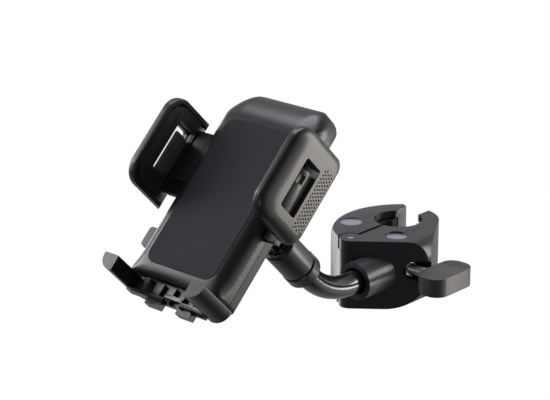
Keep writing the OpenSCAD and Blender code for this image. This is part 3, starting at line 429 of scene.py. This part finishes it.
# %% Steel materials
def steel(name, colour, rough, stretch, bump=0.12):
    """Metal whose noise has its own scale along x, y and z, so that it can read as tool marks."""
    mat = bpy.data.materials.new(name)
    mat.use_nodes = True
    tree = mat.node_tree
    shader = tree.nodes["Principled BSDF"]
    shader.inputs["Metallic"].default_value = 1.0
    place = tree.nodes.new("ShaderNodeTexCoord")
    mapping = tree.nodes.new("ShaderNodeMapping")
    mapping.inputs["Scale"].default_value = stretch
    tree.links.new(place.outputs["Object"], mapping.inputs["Vector"])
    grain = tree.nodes.new("ShaderNodeGroup")
    grain.node_tree = GRAIN
    grain.inputs["Color"].default_value = (*colour, 1)
    grain.inputs["Roughness"].default_value = rough - 0.06
    grain.inputs["Grain Scale"].default_value = 1.0
    grain.inputs["Gloss Change"].default_value = 0.14
    tree.links.new(mapping.outputs["Vector"], grain.inputs["Vector"])
    tree.links.new(grain.outputs["Color"], shader.inputs["Base Color"])
    tree.links.new(grain.outputs["Roughness"], shader.inputs["Roughness"])
    bumps = tree.nodes.new("ShaderNodeBump")
    bumps.inputs["Strength"].default_value = bump
    bumps.inputs["Distance"].default_value = 0.00008
    tree.links.new(grain.outputs["Height"], bumps.inputs["Height"])
    tree.links.new(bumps.outputs["Normal"], shader.inputs["Normal"])
    return mat


turned_face = steel("turned_steel", (0.46, 0.49, 0.56), 0.38, (900, 900, 5000), bump=0.06)
threaded_steel = steel("threaded_steel", (0.62, 0.61, 0.60), 0.30, (600, 600, 600), bump=0.04)
wire_steel = steel("spring_wire", (0.5, 0.5, 0.52), 0.35, (1500, 1500, 1500))

# %% [markdown]
# ## The front housing
# The housing is one moulding whose edge changes its rounding as it goes round: 9 mm deep along the
# sides, 18 mm over the top, where the seam cuts it short, and only 3 mm at the foot. A rounded box
# could not do that. We draw the outer outline and the mat's outline with matching points, and each
# ring of the surface is a mixture of the two: the outer one's share follows cos(t) while the depth
# follows 1 - sin(t), which is a quarter ellipse whose depth is free to vary round the outline. The
# inside is the same curve, drawn in by the wall.

# %% Outlines with matching points
def outline(x0, y0, x1, y1, radii, arc=14, side=12):
    """Points round a rectangle with a radius for each corner, anticlockwise from the lower left: each
    corner is a quarter circle and each side is an even row of points."""
    corners = [(x0, y0, 1, 1, 180), (x1, y0, -1, 1, 270), (x1, y1, -1, -1, 0), (x0, y1, 1, -1, 90)]
    arcs = []
    for (cx, cy, sx, sy, start), r in zip(corners, radii):
        t = np.radians(np.linspace(start, start + 90, arc))
        arcs.append(np.stack([cx + sx * r + r * np.cos(t), cy + sy * r + r * np.sin(t)], axis=-1))
    pieces = []
    w = np.linspace(0, 1, side + 2)[1:-1, None]
    for i, piece in enumerate(arcs):
        pieces += [piece, piece[-1] * (1 - w) + arcs[(i + 1) % 4][0] * w]
    return np.concatenate(pieces)


BODY_HALF, BODY_TOP, BODY_LOW, FOOT_R, TOP_R = 33.3, 69.5, -53.4, 3, 16
SEAM, SEAM_TOP, SEAM_LIP, PROUD, MAT_T, INNER, WALL = -12.8, 68.6, 0.3, -0.3, 1.2, -3.2, 2.0
MAT_HALF, MAT_HALF_H, MAT_R, MAT_GAP = 24.8, 46.25, 6.5, 0.06
SIDE_ROLL, TOP_ROLL, FOOT_ROLL = 9, 18, 3
body_line = outline(-BODY_HALF, BODY_LOW, BODY_HALF, BODY_TOP, [FOOT_R, FOOT_R, TOP_R, TOP_R])
mat_u, mat_v = MAT_HALF + MAT_GAP, MAT_HALF_H + MAT_GAP
mat_line = outline(-mat_u, -mat_v, mat_u, mat_v, [MAT_R] * 4)


def smooth_step(x, low, high):
    """Share that rises from 0 to 1 between two values of x, level at both ends."""
    t = np.clip((x - low) / (high - low), 0, 1)
    return t * t * (3 - 2 * t)


def roll_depth(line):
    """Depth of the rounding at each outline point: one value at the sides, a deeper one at the top and a
    shallow one at the foot, with smooth steps between them."""
    v = line[:, 1]
    to_top = smooth_step(v, BODY_TOP - 18, BODY_TOP - 2)
    to_foot = 1 - smooth_step(v, BODY_LOW, BODY_LOW + 5)
    return SIDE_ROLL + (TOP_ROLL - SIDE_ROLL) * to_top - (SIDE_ROLL - FOOT_ROLL) * to_foot


def front_housing():
    """Rings from the mat's floor outwards over the rolled edge to the seam, then back inside the wall.
    The last outer ring is the back cover's edge."""
    depth = roll_depth(body_line)
    start = np.arcsin(np.clip(1 - (PROUD - SEAM - SEAM_LIP) / depth, 0, 1))
    seam_line = np.minimum(body_line, [BODY_HALF, SEAM_TOP])
    middle = np.array([0.0, (BODY_TOP + BODY_LOW) / 2])
    half = np.array([BODY_HALF, (BODY_TOP - BODY_LOW) / 2])

    def rolled(k):
        """Angle, outline and depth a share k of the way from the mat to the seam."""
        t = math.pi / 2 - (math.pi / 2 - start) * k
        share = np.maximum(np.cos(t) / np.cos(start), 0.002)[:, None]
        return t, mat_line * (1 - share) + seam_line * share, PROUD - depth * (1 - np.sin(t))

    def inset(line, by):
        """Outline drawn in by a distance towards the middle of the body."""
        return middle + (line - middle) * (1 - by / half)

    rings = [cradle(*(mat_line * 0.4).T, -MAT_T), cradle(*mat_line.T, -MAT_T)]
    rings.append(cradle(*mat_line.T, PROUD - 0.15))
    for k in np.linspace(0, 1, 17):
        t, ring, n = rolled(k)
        rings.append(cradle(*ring.T, n))
    rings.append(cradle(*seam_line.T, SEAM + SEAM_LIP))
    rings += [cradle(*inset(seam_line, by).T, SEAM + 0.02) for by in (0.25, WALL)]
    for k in np.linspace(1, 0.2, 9):
        t, ring, n = rolled(k)
        inner = inset(ring, WALL * np.cos(t)[:, None])
        rings.append(cradle(*inner.T, np.clip(n - WALL * np.sin(t), SEAM + 0.04, INNER)))
    return grid_mesh("front_housing", np.stack(rings))


print("points round the housing:", len(body_line))

# %% [markdown]
# The sliders, the release tab and the foot's tongue leave the housing through slots. A Boolean
# modifier cuts them, its result is kept as the mesh, and the cutters are deleted, so nothing
# is left to recompute.


# %% Slots cut through the wall
def box_mesh(lo, hi):
    """Closed box between two corners in the cradle's directions."""
    u = np.array([lo[0], hi[0], hi[0], lo[0]])
    v = np.array([lo[1], lo[1], hi[1], hi[1]])
    return grid_mesh("block", np.stack([cradle(u, v, n) for n in (lo[2], hi[2])]))


def carved(mesh, cutters):
    """The mesh with every cutter taken away by an exact Boolean."""
    body = bpy.data.objects.new("carving", mesh)
    tool = bpy.data.objects.new("cutter", join_meshes("cutters", cutters))
    for o in (body, tool):
        outward(o.data)
        bpy.context.scene.collection.objects.link(o)
    cut = body.modifiers.new("cut", "BOOLEAN")
    cut.operation, cut.solver, cut.object = "DIFFERENCE", "EXACT", tool
    cut.use_self = True
    shown = body.evaluated_get(bpy.context.evaluated_depsgraph_get())
    result = bpy.data.meshes.new_from_object(shown)
    for o in (body, tool):
        bpy.data.objects.remove(o)
    result.materials.clear()
    return result


ARM_MID, STAGGER, SLIDER_H = 16.0, 1.5, 41.0
SLOT_GAP, SLOT_IN, SLOT_OUT = 0.4, 22.3, 35.0
# side, lowest v of the slider's plate, depth of its front, depth at which its slot ends
SLIDERS = ((-1, -5.1, -3.6, -8.0), (1, -12.0, -8.4, -14.0))
# two corners each, in the cradle's directions
TAB_SLOT = ((-35.0, -40.3, -10.4), (-30.0, -25.1, -5.6))
TONGUE_SLOT = ((-15.4, -55.0, -9.35), (15.4, -50.0, -5.65))
slots = []
for side, low, front, rear in SLIDERS:
    high = ARM_MID + side * STAGGER + SLIDER_H / 2
    near, far = sorted([side * SLOT_IN, side * SLOT_OUT])
    slots.append(box_mesh((near, low - SLOT_GAP, rear), (far, high + SLOT_GAP, front + SLOT_GAP)))
slots += [box_mesh(*TAB_SLOT), box_mesh(*TONGUE_SLOT)]
print("slots through the housing's wall:", len(slots))
dress("front_shell", carved(front_housing(), slots), housing, 35)

# %% [markdown]
# ## Side grips
# Each grip is a shallow cup. Its outside is the same trick turned on its side: the rim's outline
# melts into a smaller flat outline while the surface rises to 8 mm from the rim's face. The inside
# is a pocket. The slanted back, the window, two seats and the rows of small holes are cut last.

# %% Cupped grip
RIM_X, BULGE, RIM_EDGE, GRIP_H, GRIP_FRONT, GRIP_REAR = 42.4, 8.0, 3.2, 55.2, 25.6, 17.0
RIM_REAR, WELL_DEPTH, WELL_EDGE, RIM_ROUND = 8.1, 2.0, 0.3, 0.6
# corner radii: low rear, high rear, high front, low front
RIM_CORNERS, FLAT_CORNERS, WELL_CORNERS = [5, 5, 11, 11], [5, 5, 8, 8], [3, 3, 8, 8]
# how far within the rim the flat outside lies at its low, rear, high and front edge, and the well
FLAT_IN, WELL_IN = (7, 3, 5, 10), 3
# how far a cutter passes beyond the surface that it cuts
OVERRUN = 1


def sideways(side, x, v, n):
    """World points at a distance x from the cradle's middle on one side."""
    return cradle(side * np.asarray(x, dtype=float), v, n)


def grip_mesh(side):
    """Rings from the middle of the pocket's floor over the rim to the middle of the flat outside."""
    mid = ARM_MID + side * STAGGER
    lo, hi = mid - GRIP_H / 2, mid + GRIP_H / 2
    low_in, rear_in, high_in, front_in = FLAT_IN
    rim = outline(lo, -GRIP_REAR, hi, GRIP_FRONT, RIM_CORNERS)
    flat = outline(lo + low_in, rear_in - GRIP_REAR, hi - high_in, GRIP_FRONT - front_in, FLAT_CORNERS)
    well = outline(lo + WELL_IN, WELL_IN - GRIP_REAR, hi - WELL_IN, GRIP_FRONT - WELL_IN, WELL_CORNERS)
    middle = np.array([mid, 4.0])

    def level(x, line):
        """Ring of an outline at one distance outwards from the rim's face."""
        return sideways(side, RIM_X + x, *line.T)

    rings = [level(WELL_DEPTH, (well - middle) * 0.5 + middle)]
    rings += [level(WELL_DEPTH, well), level(WELL_EDGE, well)]
    rings += [level(0, well * (1 - w) + rim * w) for w in (0.12, 0.8)]
    for t in np.radians(np.linspace(10, 90, 5)):
        w = 0.2 * (1 - np.sin(t))
        rings.append(level(RIM_ROUND * (1 - np.cos(t)), well * w + rim * (1 - w)))
    for t in np.radians(np.linspace(0, 90, 16)):
        w = 1 - np.cos(t)
        rings.append(level(RIM_EDGE + (BULGE - RIM_EDGE) * np.sin(t), rim * (1 - w) + flat * w))
    rings.append(level(BULGE, (flat - middle) * 0.6 + middle))
    return grid_mesh("grip", np.stack(rings))


# lowest and highest v and n of the window; radius, steps, first n and depth of the small holes
WINDOW = (1.25, -2.2, 30.75, 12.3)
HOLE_R, HOLE_STEP_V, HOLE_STEP_N, HOLE_FIRST_N, HOLE_DEPTH = 0.62, 2.3, 1.8, -5.2, 1.2


def window_line(grow):
    """Outline of the grips' window in v and n, larger on every side by a margin."""
    v0, n0, v1, n1 = WINDOW
    return outline(v0 - grow, n0 - grow, v1 + grow, n1 + grow, [1.5] * 4, 5, 1)


def through(side, line, x0, x1):
    """Closed prism of an outline in v and n between two distances from the middle."""
    return grid_mesh("through", np.stack([sideways(side, x, *line.T) for x in (x0, x1)]))


def small_holes(side):
    """Eight-sided blind holes in 16 rows and 5 columns, with every other column half a step further on."""
    turn = np.radians(np.arange(8) * 45 + 22.5)
    face = RIM_X + BULGE
    found = []
    for i, j in np.ndindex(16, 5):
        v = ARM_MID + HOLE_STEP_V * (i - 7.75 + (j % 2) / 2)
        n = HOLE_FIRST_N - HOLE_STEP_N * j
        ring = np.stack([v + HOLE_R * np.cos(turn), n + HOLE_R * np.sin(turn)], axis=-1)
        found.append(through(side, ring, face - HOLE_DEPTH, face + OVERRUN))
    return found


def slanted_back(side):
    """Cutter behind a line at 45 degrees that runs outwards and back from the rim's rear edge."""
    inner, outer = RIM_X - OVERRUN, RIM_X + BULGE + OVERRUN
    x = np.array([inner, outer, outer, inner])
    n = np.array([OVERRUN - RIM_REAR, -RIM_REAR - BULGE - OVERRUN, -2 * GRIP_REAR, -2 * GRIP_REAR])
    return grid_mesh("slant", np.stack([sideways(side, x, v, n) for v in (-30.0, 60.0)]))


# the slider's foot, which fills a seat in each grip: its rear for each side, its front, its inset, and
# how far out from the rim's face the seat ends
FOOT_REAR, FOOT_FRONT, FOOT_IN, FOOT_OUT = {-1: -9.8, 1: -12.4}, 15.1, 1.9, 4.05
# the insert's seat round the window: its margin, and where it starts and ends from the rim's face
SEAT_GROW, SEAT_START, SEAT_END = 0.6, 3.5, 4.9
for side, name in ((-1, "left"), (1, "right")):
    mid = ARM_MID + side * STAGGER
    reach = SLIDER_H / 2 - FOOT_IN
    foot = outline(mid - reach, FOOT_REAR[side] - 0.1, mid + reach, FOOT_FRONT, [0.5, 0.5, 3, 3], 5, 1)
    cutters = [through(side, window_line(0), RIM_X - OVERRUN, RIM_X + BULGE + OVERRUN), slanted_back(side)]
    cutters.append(through(side, window_line(SEAT_GROW), RIM_X + SEAT_START, RIM_X + SEAT_END))
    cutters.append(through(side, foot, RIM_X - OVERRUN, RIM_X + FOOT_OUT))
    dress(name + "_arm", carved(grip_mesh(side), cutters + small_holes(side)), grip, 38)
    softened(name + "_arm_pad", lining, 0.3)
    softened(name + "_arm_insert", plate, 0.25)
    softened(name + "_slider", cover, 0.25, 1)
softened("release_button", housing, 0.3)
print("grips dressed")

# %% [markdown]
# ## The rest of the cradle
# These pieces already have their true form in the construction model, so they only need a finish
# and, except for the pinion with its fine teeth, soft edges.

# %% Cradle pieces with softened edges
softened("rear_shell", cover, 0.3)
softened("front_mat", mat_face, 0.2)
softened("foot_tray", tray, 0.35)
softened("pinion", natural, 0)
softened("pinion_axle", turned_face, 0.2)
softened("shell_screws", turned_face, 0.1)
softened("stem_washer", turned_face, 0.1)
softened("stem_screw", turned_face, 0.1)

# %% [markdown]
# ## Springs
# A coil spring is a circle carried along a helix. The circle must stand square to the path, so
# each point gets two directions across it: the cross product of the path's own direction with a
# fixed reference, and the cross product of the path's direction with that.


# %% Round wire along a path
def wire(path, radius, sides=12, reference=(0.3, 0.5, 0.81)):
    """Closed tube of a radius in metres along an array of world points, with flat ends: each ring lies
    across the path, in the plane of two directions made from the path's own and a fixed reference."""
    along = np.gradient(path, axis=0)
    along /= np.linalg.norm(along, axis=1, keepdims=True)
    first = np.cross(along, reference)
    first /= np.linalg.norm(first, axis=1, keepdims=True)
    second = np.cross(along, first)
    t = np.linspace(0, 2 * np.pi, sides, endpoint=False)
    ring = first[:, None, :] * np.cos(t)[None, :, None] + second[:, None, :] * np.sin(t)[None, :, None]
    return grid_mesh("wire", path[:, None, :] + radius * ring)


def coil_path(middle, r, pitch, turns, leg, side=1):
    """World points of a helix round the n axis with a straight leg at each end, wound the other way for
    a side of -1. All lengths are in millimetres."""
    t = np.linspace(0, 2 * np.pi * turns, int(32 * turns))
    u, v = r * np.cos(t) * side, r * np.sin(t)
    n = pitch * t / (2 * np.pi)
    start = np.array([[u[0], v[0] - leg * (1 - s), n[0]] for s in np.linspace(0, 0.9, 5)])
    spiral = np.stack([u, v, n], axis=-1)
    end = np.array([[u[-1], v[-1] + leg * s, n[-1]] for s in np.linspace(0.1, 1, 5)])
    whole = np.concatenate([start, spiral, end]) + np.array(middle)
    return cradle(*whole.T)


TURNS = 2.5
arm_path = coil_path((0, ARM_MID, -16.8), r=3.6, pitch=0.93, turns=TURNS, leg=3.5)
arm_coil = wire(arm_path, 0.43 * mm)
dress("arm_spring", arm_coil, wire_steel)
button_path = coil_path((-19.0, -20.0, -5.4), r=2.1, pitch=0.62, turns=TURNS, leg=2.5, side=-1)
button_coil = wire(button_path, 0.28 * mm, sides=8)
dress("button_spring", button_coil, wire_steel)
print("turns of each coil:", TURNS)

# %% [markdown]
# ## Turned pieces on the ball joint
# The stem and the collar nut are round about one axis through the ball, so a single profile of
# radius against height describes each. A tight pair of points at an outer corner keeps a crisp but
# not razor-sharp edge once the surface is shaded smooth. The socket keeps the form that it has in
# the construction model, with softened edges.


# %% Surfaces of revolution
def turned(name, profile, sides=72):
    """Mesh of a profile of (radius, height) millimetres turned about the line through the ball square to
    the mat. The profile starts and ends near that line, or closes on itself when the piece has a bore."""
    t = np.linspace(0, 2 * np.pi, sides, endpoint=False)[:, None]
    rim = axis_v * np.cos(t) + np.cross(axis_n, axis_v) * np.sin(t)
    profile = np.array(profile, dtype=float)
    points = ball + mm * (profile[:, None, :1] * rim + profile[:, None, 1:] * axis_n)
    solid = max(profile[0, 0], profile[-1, 0]) < 0.5
    if not solid:
        points = np.concatenate([points, points[:1]])
    return grid_mesh(name, points, lids=solid)


# the ball, its neck, the flange and the bore of the stem's screw
ball_angles = np.radians(np.linspace(-89.5, 55.1, 28))
stem = list(zip(7.0 * np.cos(ball_angles), 7.0 * np.sin(ball_angles)))
stem += [(4.05, 6.4), (4.0, 9.0), (4.0, 14.0), (4.2, 17.0), (4.9, 21.0), (6.0, 25.0), (7.4, 29.5)]
stem += [(8.6, 32.8), (9.4, 34.2), (10.2, 34.5), (14.1, 34.5), (14.45, 34.8), (14.5, 35.2)]
stem += [(14.5, 37.2), (14.2, 37.45), (3.2, 37.45), (3.2, 39.9), (1.7, 39.95), (1.65, 39.9)]
stem += [(1.65, 28.0), (0.02, 27.5)]
dress("ball_stem", turned("stem", stem), black_smooth, 30)

# the collar's sleeve outside, its lip and flared mouth, then back down the bore
nut = [(8.65, -17.4), (9.9, -17.4), (10.2, -17.1), (10.2, 4.4), (10.1, 5.0), (9.6, 5.7), (9.0, 5.98)]
nut += [(7.8, 6.0), (7.55, 5.75), (6.72, 3.1), (8.6, 3.15), (8.65, 3.0)]
dress("collar_nut", turned("collar", nut, 96), black_smooth, 30)
softened("ball_socket", black_smooth, 0.15)
print("joint pieces turned")

# %% [markdown]
# ## The bent tube
# The tube is a circle carried along a straight, an arc and a straight. Its path comes from the
# construction model's sizes: it starts in the jaw's boss, turns by what the cradle's lean leaves of
# a right angle, and ends in the socket.

# %% Tube along its bend
TUBE_R, BEND_R, LEAD_START, LEAD_END, RISE, ARM_X = 6.9, 50.0, -46.5, -61.2, 0.5, 13.8
lean = math.acos(float(axis_v[1]))
bend_angle = math.pi / 2 - lean


def tube_path(tip_length):
    """Points of the tube's middle line in the plane x = ARM_X: lead, bend, then a straight tip."""
    lead = [(y, RISE) for y in np.linspace(LEAD_START, LEAD_END, 6)]
    t = np.linspace(0, bend_angle, 40)[1:]
    bend = [(LEAD_END - BEND_R * math.sin(q), RISE + BEND_R * (1 - math.cos(q))) for q in t]
    y, z = bend[-1]
    s = np.linspace(1, tip_length, 6)
    tip = [(y - q * math.cos(bend_angle), z + q * math.sin(bend_angle)) for q in s]
    pts = np.array(lead + bend + tip)
    return np.stack([np.full(len(pts), ARM_X), pts[:, 0], pts[:, 1]], axis=-1) * mm


# distance from the bend to the ball, the socket's reach from the ball, and the tube's depth in it
BEND_TO_BALL, SOCKET_REACH, TUBE_IN = 30.7, 25.5, 11.9
tube_line = tube_path(BEND_TO_BALL - SOCKET_REACH + TUBE_IN)
dress("arm_tube", wire(tube_line, (TUBE_R - 0.02) * mm, sides=64, reference=(1.0, 0, 0)), lacquer)
print("the tube bends by", round(math.degrees(bend_angle), 1), "degrees")

# %% [markdown]
# ## The clamp
# The jaws are mouldings with softened edges, and their pins are turned steel. The screw gets its
# real thread: the radius of a point depends on its place along the helix, so the crest winds round
# the rod from one end to the other.

# %% Jaws and pins
softened("front_jaw", jaw_skin, 0.5, 3)
softened("rear_jaw", jaw_skin, 0.5, 3)
softened("front_jaw_pad", lining, 0.3)
softened("rear_jaw_pad", lining, 0.3)
softened("hinge_pin", turned_face, 0.25)
softened("swivel_barrel", turned_face, 0.35)
softened("nut_barrel", turned_face, 0.35)
softened("thrust_washer", turned_face, 0.15)
softened("lock_nut", threaded_steel, 0.25)
softened("clamp_knob", knob_skin, 0.5, 3)


# %% Threaded rod
def threaded_rod(node, r=3.0, pitch=1.0, depth=0.42, sides=40):
    """Surface of a rod along X: the radius falls from the crest as a triangle wave of the distance along
    the axis less the turned angle's share of the pitch, so that the crest climbs as a helix."""
    lo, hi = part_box(node)
    y, z = (lo[1] + hi[1]) / 2, (lo[2] + hi[2]) / 2
    x = np.arange(lo[0] / mm, hi[0] / mm, pitch / 6)
    t = np.linspace(0, 2 * np.pi, sides, endpoint=False)
    phase = (x[:, None] / pitch - t[None, :] / (2 * np.pi)) % 1.0
    # flat for a twelfth of the pitch on each side of the crest, then straight down to the root
    radius = r - depth * np.clip(np.abs(phase - 0.5) * 2.4 - 0.2, 0, 1)
    # each end is a 45 degree chamfer that starts 0.3 mm below the root
    taper = np.clip(np.minimum(x - x[0], x[-1] - x), 0, 0.8)[:, None]
    radius = np.minimum(radius, r - depth - 0.3 + taper)
    along = np.repeat(x[:, None], sides, 1)
    points = np.stack([along, y / mm + radius * np.cos(t), z / mm + radius * np.sin(t)], axis=-1)
    return grid_mesh("rod", points * mm)


dress("clamp_screw", threaded_rod("clamp_screw"), threaded_steel, 60)
print("clamp dressed")

# %% [markdown]
# ## Floor and finished box
# A single pale sheet lies below the holder and, like the sky, it is burnt out to pure white for the
# camera, as a light table is. Every other ray passes through it, so that the low light and the
# graded sky reach the walls from below. The last lines print the size of the finished box.

# %% Floor
FLOOR_REACH, FLOOR_DROP = 6.0, 0.012


def floor_sheet(height, reach, n=24):
    """Square grid of points at one height that reaches the same distance to every side."""
    run = np.linspace(-reach, reach, n)
    x, y = np.meshgrid(run, run, indexing="ij")
    return np.stack([x, y, np.full_like(x, height)], axis=-1)


floor_material = bpy.data.materials.new("pale_paper")
floor_material.use_nodes = True
paper = floor_material.node_tree
paper.nodes.remove(paper.nodes["Principled BSDF"])
glow = paper.nodes.new("ShaderNodeEmission")
clear = paper.nodes.new("ShaderNodeBsdfTransparent")
seen_white(paper, glow, clear, paper.nodes["Material Output"])
floor_points = floor_sheet(float(cad_low[2]) - FLOOR_DROP, FLOOR_REACH)
floor_mesh = grid_mesh("floor", floor_points, around=False, lids=False)
floor = bpy.data.objects.new("studio_floor", floor_mesh)
floor_mesh.materials.append(floor_material)
bpy.context.scene.collection.objects.link(floor)
floor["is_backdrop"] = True

# %% Size of the finished box
low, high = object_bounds()
print("visual box in mm:", [round(float(h - l) / mm, 1) for l, h in zip(low, high)])
